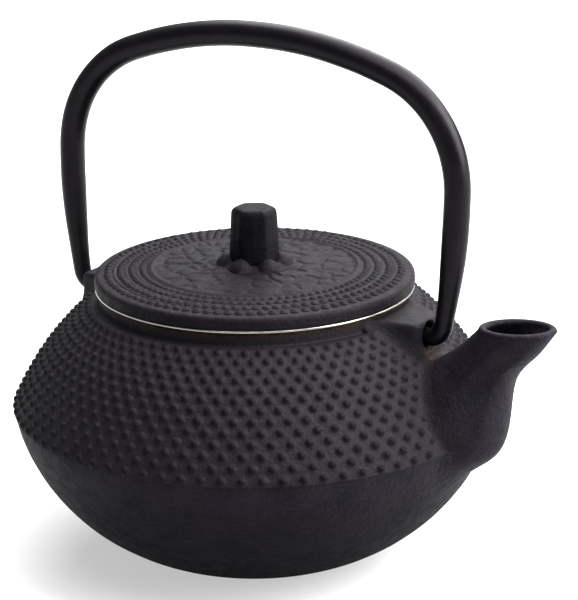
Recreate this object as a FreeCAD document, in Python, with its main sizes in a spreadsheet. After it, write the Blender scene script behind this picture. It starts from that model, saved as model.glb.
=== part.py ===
import FreeCAD, Part
import math
import os
import re

import Sketcher
from FreeCAD import Placement, Rotation, Vector

# Cast-iron teapot with a lift-out infuser, a lift-off lid and a swinging bail handle.
# Millimetres. +Z is up, the origin is the centre of the base on the pot's axis, and the
# spout points along +X. The bail swings about a line parallel to X through both lugs.

# Driving dimensions: (word used in expressions, value).
DIMENSIONS = [
    # outside of the pot, turned about Z
    ("base_radius", 24.7),
    ("waist_radius", 59.2),
    ("waist_height", 35.7),
    ("waist_rounding_radius", 6.0),
    ("bowl_arc_radius", 48.0),
    ("shoulder_arc_radius", 71.4),
    ("shoulder_top_radius", 39.6),
    ("shoulder_top_height", 62.0),
    ("collar_radius", 37.5),
    ("collar_edge_height", 64.4),
    ("collar_top_height", 65.2),
    ("collar_rounding", 0.8),
    ("mouth_radius", 33.0),
    ("wall", 3.5),
    ("enamel", 0.4),
    ("skin_gap", 0.05),
    ("cavity_floor_inset", 2.45),
    ("cavity_top_rise", 4.2),
    # spout: oval sections, each with its centre, tilt, length in the XZ plane and breadth
    ("rim_x", 68.7),
    ("rim_height", 64.9),
    ("rim_tilt", 3.4),
    ("rim_length", 18.6),
    ("rim_breadth", 14.0),
    ("throat_x", 64.5),
    ("throat_height", 59.2),
    ("throat_tilt", 0.3),
    ("throat_length", 18.0),
    ("throat_breadth", 15.6),
    ("neck_x", 59.9),
    ("neck_height", 54.0),
    ("neck_tilt", -8.6),
    ("neck_length", 19.0),
    ("neck_breadth", 18.6),
    ("root_x", 54.2),
    ("root_height", 43.0),
    ("root_tilt", -47.4),
    ("root_length", 27.2),
    ("root_breadth", 27.0),
    ("heel_x", 44.0),
    ("heel_height", 38.0),
    ("heel_tilt", -60.0),
    ("heel_length", 20.0),
    ("heel_breadth", 19.9),
    ("rim_wall", 1.9),
    ("throat_wall", 2.8),
    ("neck_wall", 3.4),
    ("root_wall", 3.8),
    ("bore_overrun_x", 0.6),
    ("bore_overrun_height", 1.2),
    ("bore_mouth_flare", 0.6),
    ("bore_end_drop", 2.0),
    ("bore_end_length", 15.0),
    ("bore_end_breadth", 14.9),
    # lugs that carry the bail
    ("lug_inner_x", 35.5),
    ("lug_face_x", 46.5),
    ("lug_bottom", 52.0),
    ("lug_top_inner", 64.8),
    ("lug_top_outer", 63.4),
    ("lug_inner_breadth", 19.0),
    ("lug_face_breadth", 11.6),
    ("lug_hole_radius", 3.0),
    ("lug_hole_height", 59.9),
    ("lug_hole_depth", 4.6),
    # bail: a round rod along tangent arcs, seen from the front
    ("bail_top", 125.6),
    ("bail_arch_radius", 101.2),
    ("bail_corner_radius", 27.5),
    ("bail_leg_radius", 200.0),
    ("bail_leg_x", 52.7),
    ("bail_leg_height", 93.9),
    ("bail_hook_radius", 3.6),
    ("bail_pin_end_x", 42.3),
    ("bail_rod_radius", 3.1),
    ("bail_pin_radius", 2.15),
    ("bail_taper_height", 86.0),
    ("bail_pivot_height", 59.15),
    ("bail_lean", 2.5),
    # lid
    ("lid_radius", 38.4),
    ("lid_bottom", 65.95),
    ("lid_edge_height", 69.0),
    ("lid_edge_rounding", 1.4),
    ("lid_foot_rounding", 0.5),
    ("lid_top_height", 70.8),
    ("lid_crown_radius", 430.0),
    ("lid_skirt_radius", 30.9),
    ("lid_skirt_inner_radius", 29.7),
    ("lid_skirt_bottom", 61.0),
    ("lid_underside_height", 67.4),
    ("tenon_radius", 2.2),
    ("tenon_gap", 0.1),
    # knob, its flower seat and its washer
    ("seat_radius", 6.6),
    ("seat_top", 71.8),
    ("petal_count", 6),
    ("petal_orbit", 6.9),
    ("petal_radius", 2.55),
    ("petal_top", 73.7),
    ("foot_recess_radius", 6.38),
    ("knob_foot_flat", 5.5),
    ("knob_shoulder_flat", 4.85),
    ("knob_shoulder_height", 83.4),
    ("knob_top_flat", 3.5),
    ("knob_top_height", 84.7),
    ("washer_radius", 5.5),
    ("washer_thickness", 0.8),
    ("rivet_head_radius", 3.2),
    ("rivet_head_thickness", 0.9),
    # infuser
    ("sheet_metal", 0.6),
    ("flange_radius", 38.3),
    ("flange_bottom", 65.3),
    ("flange_lip", 0.35),
    ("flange_lip_width", 0.5),
    ("sleeve_radius", 32.3),
    ("sleeve_bottom", 56.0),
    ("mesh_thickness", 0.4),
    ("mesh_wall_radius", 31.6),
    ("mesh_wall_top", 58.0),
    ("infuser_bottom", 31.0),
    ("base_band_radius", 32.2),
    ("base_band_top", 34.0),
    ("base_lip_radius", 29.0),
    ("base_mesh_height", 31.65),
]

document = FreeCAD.newDocument("teapot")
sheet = document.addObject("Spreadsheet::Sheet", "Dimensions")
for row, (alias, number) in enumerate(DIMENSIONS, start=1):
    sheet.set(f"A{row}", alias)
    sheet.set(f"B{row}", str(number))
    sheet.setAlias(f"B{row}", alias)
document.recompute()

WORDS = {alias for alias, number in DIMENSIONS}


def linked(expression):
    """The same expression with every dimension's word pointing at the sheet."""
    def point(word):
        return f"Dimensions.{word[0]}" if word[0] in WORDS else word[0]

    return re.sub(r"[a-z_]+", point, expression)


def size(expression):
    """The expression's present value as a plain number."""
    return float(sheet.evalExpression(expression))


def bind(thing, **expressions):
    """Bind properties of a document object to expressions of the sheet."""
    for name, expression in expressions.items():
        thing.setExpression(name, linked(expression))


def new_body(label):
    """An empty PartDesign body that will become one sub-part or a tool for one."""
    body = document.addObject("PartDesign::Body", label)
    body.Label = label
    return body


def origin_feature(body, role):
    """One of a body's own origin planes or axes."""
    return next(item for item in body.Origin.OriginFeatures if item.Role == role)


def new_sketch(body, name, role):
    """An empty sketch on one of the body's origin planes."""
    sketch = body.newObject("Sketcher::SketchObject", name)
    sketch.AttachmentSupport = [(origin_feature(body, role), "")]
    sketch.MapMode = "FlatFace"
    return sketch


def hold(sketch, kind, *where, to):
    """Add a dimension to a sketch and bind it to an expression."""
    index = sketch.addConstraint(Sketcher.Constraint(kind, *where, size(to)))
    sketch.setExpression(f"Constraints[{index}]", linked(to))


def arc_between(start, end, radius):
    """Circle arc from start to end; a positive radius turns left on the way, a negative right."""
    middle = (start + end) / 2
    chord = end - start
    left = Vector(-chord.y, chord.x, 0).normalize()
    reach = math.sqrt(radius**2 - (chord.Length / 2) ** 2)
    centre = middle + left * math.copysign(reach, radius)
    circle = Part.Circle(centre, Vector(0, 0, 1), abs(radius))
    first, last = (start, end) if radius > 0 else (end, start)
    return Part.ArcOfCircle(circle, circle.parameter(first), circle.parameter(last) % (2 * math.pi))


def outline(body, name, role, corners):
    """A closed sketch through corners, each (x, y) or (x, y, radius of the arc leading to it)."""
    sketch = new_sketch(body, name, role)
    points = [Vector(size(corner[0]), size(corner[1]), 0) for corner in corners]
    ends = []
    for index, corner in enumerate(corners):
        start, end = points[index - 1], points[index]
        if len(corner) == 2:
            edge = sketch.addGeometry(Part.LineSegment(start, end), False)
            ends.append((edge, 1, 2))
            continue
        turn = size(corner[2])
        edge = sketch.addGeometry(arc_between(start, end, turn), False)
        ends.append((edge, 1, 2) if turn > 0 else (edge, 2, 1))
        hold(sketch, "Radius", edge, to=corner[2].lstrip("-"))
    for index, corner in enumerate(corners):
        edge, tail = ends[index][0], ends[index][2]
        after, after_head = ends[(index + 1) % len(ends)][:2]
        sketch.addConstraint(Sketcher.Constraint("Coincident", edge, tail, after, after_head))
        hold(sketch, "DistanceX", -1, 1, edge, tail, to=corner[0])
        hold(sketch, "DistanceY", -1, 1, edge, tail, to=corner[1])
    return sketch


def turned(body, name, corners, kind="PartDesign::Revolution"):
    """Turn an outline of (radius, height) corners about Z, as a solid or as a groove."""
    sketch = outline(body, f"{name}_outline", "XZ_Plane", corners)
    feature = body.newObject(kind, name)
    feature.Profile = sketch
    feature.ReferenceAxis = (origin_feature(body, "Z_Axis"), [""])
    feature.Angle = 360
    document.recompute()
    return feature


def oval(body, name, x, height, tilt, length, breadth):
    """A sketch with one ellipse, tilted about Y: length lies in the XZ plane, breadth along Y."""
    sketch = new_sketch(body, name, "XY_Plane")
    half_length = size(f"({length}) / 2")
    half_breadth = size(f"({breadth}) / 2")
    ellipse = Part.Ellipse(Vector(half_length, 0, 0), Vector(0, half_breadth, 0), Vector(0, 0, 0))
    edge = sketch.addGeometry(ellipse, False)
    sketch.exposeInternalGeometry(edge)
    long_axis, short_axis = edge + 1, edge + 2
    sketch.addConstraint(Sketcher.Constraint("Coincident", edge, 3, -1, 1))
    sketch.addConstraint(Sketcher.Constraint("Horizontal", long_axis))
    hold(sketch, "Distance", long_axis, to=length)
    hold(sketch, "Distance", short_axis, to=breadth)
    sketch.AttachmentOffset = Placement(Vector(0, 0, 0), Rotation(Vector(0, 1, 0), -1))
    sketch.setExpression("AttachmentOffset.Base.x", linked(x))
    sketch.setExpression("AttachmentOffset.Base.z", linked(height))
    sketch.setExpression("AttachmentOffset.Rotation.Angle", linked(f"-({tilt})"))
    return sketch


def lofted(body, name, kind, sections):
    """Loft through sketches in order."""
    loft = body.newObject(kind, name)
    loft.Profile = sections[0]
    loft.Sections = sections[1:]
    loft.Ruled = False
    document.recompute()
    return loft


def disc_sketch(body, name, radius, height, x="0", bearing=0):
    """A circle on a level plane at a height, x away from the Z axis at a bearing in degrees."""
    sketch = new_sketch(body, name, "XY_Plane")
    circle = Part.Circle(Vector(size(x), 0, 0), Vector(0, 0, 1), size(radius))
    edge = sketch.addGeometry(circle, False)
    hold(sketch, "Radius", edge, to=radius)
    hold(sketch, "DistanceX", -1, 1, edge, 3, to=x)
    sketch.addConstraint(Sketcher.Constraint("PointOnObject", edge, 3, -1))
    sketch.AttachmentOffset = Placement(Vector(0, 0, 0), Rotation(Vector(0, 0, 1), bearing))
    sketch.setExpression("AttachmentOffset.Base.z", linked(height))
    return sketch


def padded(body, name, sketch, length):
    """Pad a sketch upwards."""
    pad = body.newObject("PartDesign::Pad", name)
    pad.Profile = sketch
    bind(pad, Length=length)
    document.recompute()
    return pad


# The spout's sections from the pouring edge down to inside the bowl.
SPOUT_STATIONS = ["rim", "throat", "neck", "root", "heel"]
# Degrees from +X to the knob's first corner, which stands over the first petal.
CORNER_BEARING = 30


def build_pot():
    """The casting: turned bowl and shoulder, lofted spout, two wedge lugs, hollow inside."""
    body = new_body("pot_body")
    turned(body, "pot_outside", [
        ("0", "0"),
        ("base_radius", "0"),
        ("waist_radius", "waist_height", "bowl_arc_radius"),
        ("shoulder_top_radius", "shoulder_top_height", "shoulder_arc_radius"),
        ("collar_radius", "shoulder_top_height"),
        ("collar_radius", "collar_edge_height"),
        ("collar_radius - collar_rounding", "collar_top_height", "collar_rounding"),
        ("0", "collar_top_height"),
    ])
    soften(body, "waist_rounding", waist_edges(body.Shape), "waist_rounding_radius")
    skins = [
        oval(body, f"spout_{station}", f"{station}_x", f"{station}_height", f"{station}_tilt",
             f"{station}_length", f"{station}_breadth")
        for station in SPOUT_STATIONS
    ]
    lofted(body, "spout", "PartDesign::AdditiveLoft", skins)
    build_lug(body, "spout_side_lug", 0)
    build_lug(body, "far_side_lug", 180)
    turned(body, "cavity", cavity_outline("wall"), "PartDesign::Groove")
    lofted(body, "spout_bore", "PartDesign::SubtractiveLoft", bore_sections(body))
    build_lug_hole(body, "spout_side_hole", 1)
    build_lug_hole(body, "far_side_hole", -1)
    return body


def soften(body, name, edges, radius):
    """Round some edges of the body's last feature."""
    fillet = body.newObject("PartDesign::Fillet", name)
    fillet.Base = (fillet.BaseFeature, edges)
    bind(fillet, Radius=radius)
    document.recompute()
    return fillet


def waist_edges(shape):
    """Names of the edges where the bowl meets the shoulder."""
    waist = size("waist_height")
    return [f"Edge{index}" for index, edge in enumerate(shape.Edges, start=1)
            if abs(edge.BoundBox.ZMin - waist) < 0.01 and abs(edge.BoundBox.ZMax - waist) < 0.01]


def cavity_outline(wall):
    """The hollow a given distance inside the casting's outside, open at the mouth."""
    return [
        ("0", wall),
        ("base_radius - cavity_floor_inset", wall),
        (f"waist_radius - ({wall})", "waist_height", f"bowl_arc_radius - ({wall})"),
        ("mouth_radius", f"shoulder_top_height + cavity_top_rise - ({wall})",
         f"shoulder_arc_radius - ({wall})"),
        ("mouth_radius", "collar_top_height + 1"),
        ("0", "collar_top_height + 1"),
    ]


def bore_sections(body):
    """The bore's ovals, from just above the rim down into the cavity."""
    mouth = oval(body, "bore_mouth", "rim_x + bore_overrun_x", "rim_height + bore_overrun_height",
                 "rim_tilt", "rim_length - 2 * rim_wall + bore_mouth_flare",
                 "rim_breadth - 2 * rim_wall + bore_mouth_flare")
    inner = [
        oval(body, f"bore_{station}", f"{station}_x", f"{station}_height", f"{station}_tilt",
             f"{station}_length - 2 * {station}_wall", f"{station}_breadth - 2 * {station}_wall")
        for station in SPOUT_STATIONS[:-1]
    ]
    end = oval(body, "bore_end", "heel_x", "heel_height + bore_end_drop", "heel_tilt",
               "bore_end_length", "bore_end_breadth")
    return [mouth, *inner, end]


def build_lug(body, name, bearing):
    """A wedge that grows out of the collar, narrower at its outer face, its top falling away."""
    lug = body.newObject("PartDesign::AdditiveWedge", name)
    lug.AttachmentSupport = [(origin_feature(body, "XY_Plane"), "")]
    lug.MapMode = "FlatFace"
    # the wedge tapers along its own Y, which is turned to point outwards from the pot's axis
    lug.AttachmentOffset = Placement(Vector(0, 0, 0), Rotation(Vector(0, 0, 1), bearing - 90))
    bind(
        lug,
        Xmin="-lug_inner_breadth / 2",
        Xmax="lug_inner_breadth / 2",
        X2min="-lug_face_breadth / 2",
        X2max="lug_face_breadth / 2",
        Ymin="lug_inner_x",
        Ymax="lug_face_x",
        Zmin="lug_bottom",
        Zmax="lug_top_inner",
        Z2min="lug_bottom",
        Z2max="lug_top_outer",
    )
    document.recompute()
    return lug


def build_lug_hole(body, name, side):
    """A blind hole in a lug's outer face, deep enough for the bail's pin."""
    sketch = new_sketch(body, f"{name}_outline", "YZ_Plane")
    edge = sketch.addGeometry(Part.Circle(Vector(0, size("lug_hole_height"), 0), Vector(0, 0, 1),
                                          size("lug_hole_radius")), False)
    hold(sketch, "Radius", edge, to="lug_hole_radius")
    hold(sketch, "DistanceY", -1, 1, edge, 3, to="lug_hole_height")
    sketch.addConstraint(Sketcher.Constraint("PointOnObject", edge, 3, -2))
    sketch.setExpression("AttachmentOffset.Base.z", linked(f"{side} * (lug_face_x + 1)"))
    pocket = body.newObject("PartDesign::Pocket", name)
    pocket.Profile = sketch
    pocket.Reversed = side < 0
    bind(pocket, Length="lug_hole_depth + 1")
    before = body.Shape.Volume
    document.recompute()
    if body.Shape.Volume > before - 50:
        raise RuntimeError(f"{name} cut nothing")
    return pocket


def build_enamel():
    """The baked skin that lines the cavity from the floor to just under the mouth."""
    body = new_body("enamel_lining")
    outer = "wall + skin_gap"
    enamel_top = f"shoulder_top_height + 3.3 - ({outer})"
    turned(body, "enamel_outside", cavity_outline(outer)[:3] + [
        ("mouth_radius + 1", enamel_top, f"shoulder_arc_radius - ({outer})"),
        ("0", enamel_top),
    ])
    inner = "wall + skin_gap + enamel"
    turned(body, "enamel_inside", cavity_outline(inner), "PartDesign::Groove")
    lofted(body, "enamel_spout_opening", "PartDesign::SubtractiveLoft", bore_sections(body))
    return body


def circle_meeting(first, first_reach, second, second_reach):
    """The right-hand, upper meeting point of two circles given by centre and radius."""
    apart = second - first
    along = (first_reach**2 - second_reach**2 + apart.Length**2) / (2 * apart.Length)
    off = math.sqrt(first_reach**2 - along**2)
    direction = Vector(apart).normalize()
    across = Vector(direction.y, -direction.x, 0)
    return first + direction * along + across * off


def toward(start, end, distance):
    """The point at a distance from start in the direction of end."""
    return start + (end - start).normalize() * distance


def bail_spine(body):
    """Half of the bail's centre line, each edge tangent to the next.

    Edge1 pin, Edge2 hook, Edge3 tapered leg, Edge4 straight-sided leg, Edge5 corner, Edge6 arch.
    """
    arch, corner = size("bail_arch_radius"), size("bail_corner_radius")
    leg, hook = size("bail_leg_radius"), size("bail_hook_radius")
    pivot, top = size("bail_pivot_height"), size("bail_top")
    arch_centre = Vector(0, top - arch, 0)
    leg_centre = Vector(size("bail_leg_x") - leg, size("bail_leg_height"), 0)
    corner_centre = circle_meeting(arch_centre, arch - corner, leg_centre, leg - corner)
    drop = leg_centre.y - pivot - hook
    hook_centre = Vector(leg_centre.x + math.sqrt((leg - hook) ** 2 - drop**2), pivot + hook, 0)
    stops = [
        Vector(size("bail_pin_end_x"), pivot, 0),
        Vector(hook_centre.x, pivot, 0),
        toward(leg_centre, hook_centre, leg),
        Vector(size(leg_x("bail_taper_height")), size("bail_taper_height"), 0),
        toward(leg_centre, corner_centre, leg),
        toward(arch_centre, corner_centre, arch),
        Vector(0, top, 0),
    ]
    sketch = new_sketch(body, "bail_centre_line", "XZ_Plane")
    sketch.addGeometry(Part.LineSegment(stops[0], stops[1]), False)
    for index, radius in enumerate([hook, leg, leg, corner, arch], start=1):
        sketch.addGeometry(arc_between(stops[index], stops[index + 1], radius), False)
    for edge in range(5):
        kind = "Coincident" if edge == 2 else "Tangent"
        sketch.addConstraint(Sketcher.Constraint(kind, edge, 2, edge + 1, 1))
    sketch.addConstraint(Sketcher.Constraint("Coincident", 2, 3, 3, 3))
    hold(sketch, "DistanceX", -1, 1, 0, 1, to="bail_pin_end_x")
    hold(sketch, "DistanceY", -1, 1, 0, 1, to="bail_pivot_height")
    sketch.addConstraint(Sketcher.Constraint("Horizontal", 0))
    radii = {1: "bail_hook_radius", 2: "bail_leg_radius", 4: "bail_corner_radius",
             5: "bail_arch_radius"}
    for edge, word in radii.items():
        hold(sketch, "Radius", edge, to=word)
    hold(sketch, "DistanceY", -1, 1, 2, 2, to="bail_taper_height")
    hold(sketch, "DistanceX", -1, 1, 2, 3, to="bail_leg_x - bail_leg_radius")
    hold(sketch, "DistanceY", -1, 1, 2, 3, to="bail_leg_height")
    sketch.addConstraint(Sketcher.Constraint("PointOnObject", 5, 2, -2))
    sketch.addConstraint(Sketcher.Constraint("PointOnObject", 5, 3, -2))
    hold(sketch, "DistanceY", -1, 1, 5, 2, to="bail_top")
    return sketch


def leg_x(height):
    """Where the leg's centre line is at a height, as an expression."""
    return (f"bail_leg_x - bail_leg_radius + "
            f"sqrt(bail_leg_radius ^ 2 - ({height} - bail_leg_height) ^ 2)")


def upright_section(body, name, radius, x, height):
    """A circle round the bail's centre line on a plane parallel to YZ."""
    sketch = new_sketch(body, name, "YZ_Plane")
    circle = Part.Circle(Vector(0, size(height), 0), Vector(0, 0, 1), size(radius))
    edge = sketch.addGeometry(circle, False)
    hold(sketch, "Radius", edge, to=radius)
    hold(sketch, "DistanceY", -1, 1, edge, 3, to=height)
    sketch.addConstraint(Sketcher.Constraint("PointOnObject", edge, 3, -2))
    sketch.setExpression("AttachmentOffset.Base.z", linked(x))
    return sketch


def leg_section(body, name, radius, height):
    """A circle round the leg's centre line, square to the leg at a height."""
    sketch = new_sketch(body, name, "XY_Plane")
    circle = Part.Circle(Vector(0, 0, 0), Vector(0, 0, 1), size(radius))
    edge = sketch.addGeometry(circle, False)
    hold(sketch, "Radius", edge, to=radius)
    sketch.addConstraint(Sketcher.Constraint("Coincident", edge, 3, -1, 1))
    sketch.AttachmentOffset = Placement(Vector(0, 0, 0), Rotation(Vector(0, 1, 0), 1))
    sketch.setExpression("AttachmentOffset.Base.x", linked(leg_x(height)))
    sketch.setExpression("AttachmentOffset.Base.z", linked(height))
    sketch.setExpression("AttachmentOffset.Rotation.Angle",
                         linked(f"asin((bail_leg_height - ({height})) / bail_leg_radius)"))
    return sketch


def swept(body, name, profile, spine, edges, sections=()):
    """Sweep a circle along some of a spine's edges, through further circles if given."""
    pipe = body.newObject("PartDesign::AdditivePipe", name)
    pipe.Profile = profile
    pipe.Spine = (spine, edges)
    if sections:
        pipe.Transformation = "Multisection"
        pipe.Sections = list(sections)
    document.recompute()
    return pipe


def build_handle():
    """The bail: a round rod, thinner towards the pins, mirrored about the YZ plane."""
    body = new_body("handle")
    spine = bail_spine(body)
    top = upright_section(body, "top_section", "bail_rod_radius", "0", "bail_top")
    pin = upright_section(body, "pin_section", "bail_pin_radius", "bail_pin_end_x",
                          "bail_pivot_height")
    wide = leg_section(body, "taper_wide_section", "bail_rod_radius", "bail_taper_height")
    narrow_height = ("bail_leg_height - bail_leg_radius / (bail_leg_radius - bail_hook_radius)"
                     " * (bail_leg_height - bail_pivot_height - bail_hook_radius)")
    narrow = leg_section(body, "taper_narrow_section", "bail_pin_radius", narrow_height)
    parts_of_bail = [
        swept(body, "arch", top, spine, ["Edge4", "Edge5", "Edge6"]),
        swept(body, "tapered_leg", narrow, spine, ["Edge3"], [wide]),
        swept(body, "pin_and_hook", pin, spine, ["Edge1", "Edge2"]),
    ]
    mirror(body, "whole_bail", parts_of_bail)
    # the bail leans towards +Y, turned about the line through both pins
    body.Placement = Placement(Vector(0, 0, 0), Rotation(Vector(1, 0, 0), -1))
    body.setExpression("Placement.Rotation.Angle", linked("-bail_lean"))
    body.setExpression("Placement.Base.y", linked("-bail_pivot_height * sin(bail_lean)"))
    body.setExpression("Placement.Base.z", linked("bail_pivot_height * (1 - cos(bail_lean))"))
    return body


def mirror(body, name, features):
    """Mirror features about the YZ plane."""
    twin = body.newObject("PartDesign::Mirrored", name)
    twin.Originals = features
    twin.MirrorPlane = (origin_feature(body, "YZ_Plane"), [""])
    body.Tip = twin
    document.recompute()
    return twin


def build_lid_plate():
    """The lid: a thick disc with a rounded rim and a slightly crowned top, over a skirt."""
    body = new_body("lid_plate")
    turned(body, "lid_turning", [
        ("tenon_radius + tenon_gap", "lid_underside_height"),
        ("lid_skirt_inner_radius", "lid_underside_height"),
        ("lid_skirt_inner_radius", "lid_skirt_bottom"),
        ("lid_skirt_radius", "lid_skirt_bottom"),
        ("lid_skirt_radius", "lid_bottom"),
        ("lid_radius - lid_foot_rounding", "lid_bottom"),
        ("lid_radius", "lid_bottom + lid_foot_rounding", "lid_foot_rounding + 0.01"),
        ("lid_radius", "lid_edge_height - lid_edge_rounding"),
        ("lid_radius - lid_edge_rounding", "lid_edge_height", "lid_edge_rounding + 0.01"),
        ("tenon_radius + tenon_gap", "lid_top_height", "lid_crown_radius"),
    ])
    return body


def build_knob_seat():
    """The flower under the knob: a round plate ringed by petals, hollowed for the knob's foot."""
    body = new_body("knob_seat")
    gap = "skin_gap"
    plate = disc_sketch(body, "plate_outline", "seat_radius", f"lid_top_height + {gap}")
    padded(body, "plate", plate, f"seat_top - lid_top_height - {gap}")
    petal_outline = disc_sketch(body, "petal_outline", "petal_radius",
                                f"lid_top_height + {gap}", x="petal_orbit", bearing=CORNER_BEARING)
    petal = padded(body, "petal", petal_outline, f"petal_top - lid_top_height - {gap}")
    ring = body.newObject("PartDesign::PolarPattern", "petals")
    ring.Originals = [petal]
    ring.Axis = (origin_feature(body, "Z_Axis"), [""])
    ring.Angle = 360
    bind(ring, Occurrences="petal_count")
    body.Tip = ring
    document.recompute()
    cut_upwards(body, "foot_recess", "foot_recess_radius", "seat_top")
    cut_upwards(body, "tenon_hole", "tenon_radius + tenon_gap", "lid_top_height")
    return body


def cut_upwards(body, name, radius, height):
    """A round pocket that starts at a height and goes up through all the petals' height."""
    pocket = body.newObject("PartDesign::Pocket", name)
    pocket.Profile = disc_sketch(body, f"{name}_outline", radius, height)
    pocket.Reversed = True
    bind(pocket, Length="petal_top - lid_top_height + 1")
    before = body.Shape.Volume
    document.recompute()
    if body.Shape.Volume >= before:
        raise RuntimeError(f"{name} cut nothing")
    return pocket


def hexagon(body, name, flat, height):
    """A level regular hexagon given by half its width across flats, flats facing +X and -X."""
    sketch = new_sketch(body, name, "XY_Plane")
    corner_radius = size(flat) / math.cos(math.radians(30))
    bearings = [math.radians(60 * step + CORNER_BEARING) for step in range(6)]
    corners = [Vector(corner_radius * math.cos(angle), corner_radius * math.sin(angle), 0)
               for angle in bearings]
    for step in range(6):
        sketch.addGeometry(Part.LineSegment(corners[step], corners[(step + 1) % 6]), False)
    for step in range(6):
        after = (step + 1) % 6
        sketch.addConstraint(Sketcher.Constraint("Coincident", step, 2, after, 1))
        angle = 60 * (step + 1) + CORNER_BEARING
        hold(sketch, "DistanceX", -1, 1, step, 2, to=f"{flat} / cos(30) * cos({angle})")
        hold(sketch, "DistanceY", -1, 1, step, 2, to=f"{flat} / cos(30) * sin({angle})")
    sketch.setExpression("AttachmentOffset.Base.z", linked(height))
    return sketch


def build_lid_knob():
    """The knob: a tapered hexagonal post, its tenon, and the head the tenon is peened into."""
    body = new_body("lid_knob")
    foot = hexagon(body, "knob_foot", "knob_foot_flat", "seat_top + skin_gap")
    shoulder = hexagon(body, "knob_shoulder", "knob_shoulder_flat", "knob_shoulder_height")
    crown = hexagon(body, "knob_crown", "knob_top_flat", "knob_top_height")
    lofted(body, "post", "PartDesign::AdditiveLoft", [foot, shoulder])
    lofted(body, "top_bevel", "PartDesign::AdditiveLoft", [shoulder, crown])
    head_bottom = "lid_underside_height - skin_gap - washer_thickness - rivet_head_thickness"
    tenon = disc_sketch(body, "tenon_outline", "tenon_radius", head_bottom)
    padded(body, "tenon", tenon, f"seat_top + 1 - ({head_bottom})")
    head = disc_sketch(body, "rivet_outline", "rivet_head_radius", head_bottom)
    padded(body, "rivet_head", head, "rivet_head_thickness - skin_gap")
    return body


def build_knob_washer():
    """The washer between the lid's underside and the peened head."""
    body = new_body("knob_washer")
    top = "lid_underside_height - skin_gap"
    turned(body, "washer", [
        ("tenon_radius + tenon_gap", f"{top} - washer_thickness"),
        ("washer_radius", f"{top} - washer_thickness"),
        ("washer_radius", top),
        ("tenon_radius + tenon_gap", top),
    ])
    return body


def build_infuser_rim():
    """The infuser's flange, lipped down at its edge, and the sleeve that hangs in the neck."""
    body = new_body("infuser_rim")
    turned(body, "rim_turning", [
        ("sleeve_radius - sheet_metal", "sleeve_bottom"),
        ("sleeve_radius", "sleeve_bottom"),
        ("sleeve_radius", "flange_bottom"),
        ("flange_radius - flange_lip_width", "flange_bottom"),
        ("flange_radius - flange_lip_width", "flange_bottom - flange_lip"),
        ("flange_radius", "flange_bottom - flange_lip"),
        ("flange_radius", "flange_bottom + sheet_metal"),
        ("sleeve_radius - sheet_metal", "flange_bottom + sheet_metal"),
    ])
    return body


def build_infuser_mesh_wall():
    """The mesh cylinder, as a plain tube of the mesh's thickness."""
    body = new_body("infuser_mesh_wall")
    turned(body, "wall_turning", [
        ("mesh_wall_radius - mesh_thickness", "infuser_bottom + sheet_metal"),
        ("mesh_wall_radius", "infuser_bottom + sheet_metal"),
        ("mesh_wall_radius", "mesh_wall_top"),
        ("mesh_wall_radius - mesh_thickness", "mesh_wall_top"),
    ])
    return body


def build_infuser_base_band():
    """The band round the mesh's bottom edge, lipped inwards under the bottom mesh."""
    body = new_body("infuser_base_band")
    band_inside = "base_band_radius - sheet_metal + skin_gap"
    turned(body, "band_turning", [
        ("base_lip_radius", "infuser_bottom"),
        ("base_band_radius", "infuser_bottom"),
        ("base_band_radius", "base_band_top"),
        (band_inside, "base_band_top"),
        (band_inside, "infuser_bottom + sheet_metal - skin_gap"),
        ("base_lip_radius", "infuser_bottom + sheet_metal - skin_gap"),
    ])
    return body


def build_infuser_base_mesh():
    """The bottom mesh, as a plain disc of the mesh's thickness."""
    body = new_body("infuser_base_mesh")
    disc = disc_sketch(body, "mesh_outline", "mesh_wall_radius - mesh_thickness - skin_gap",
                       "base_mesh_height")
    padded(body, "mesh_disc", disc, "mesh_thickness")
    return body


SUBPARTS = [
    build_pot(),
    build_enamel(),
    build_handle(),
    build_lid_plate(),
    build_knob_seat(),
    build_lid_knob(),
    build_knob_washer(),
    build_infuser_rim(),
    build_infuser_mesh_wall(),
    build_infuser_base_band(),
    build_infuser_base_mesh(),
]
document.recompute()

for thing in document.Objects:
    if {"Invalid", "Error"} & set(thing.State):
        raise RuntimeError(f"{thing.Name} failed: {thing.State}")
for subpart in SUBPARTS:
    if subpart.Shape.isNull() or not subpart.Shape.isValid() or len(subpart.Shape.Solids) != 1:
        raise RuntimeError(f"{subpart.Label} is not one valid solid")

os.makedirs("parts", exist_ok=True)
for subpart in SUBPARTS:
    subpart.Shape.exportStep(f"parts/{subpart.Label}.step")
    print(subpart.Label, round(subpart.Shape.Volume), "mm3")
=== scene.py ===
import math

import bmesh
import bpy
import numpy as np
from mathutils import Matrix, Vector, noise
from mathutils.kdtree import KDTree


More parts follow.
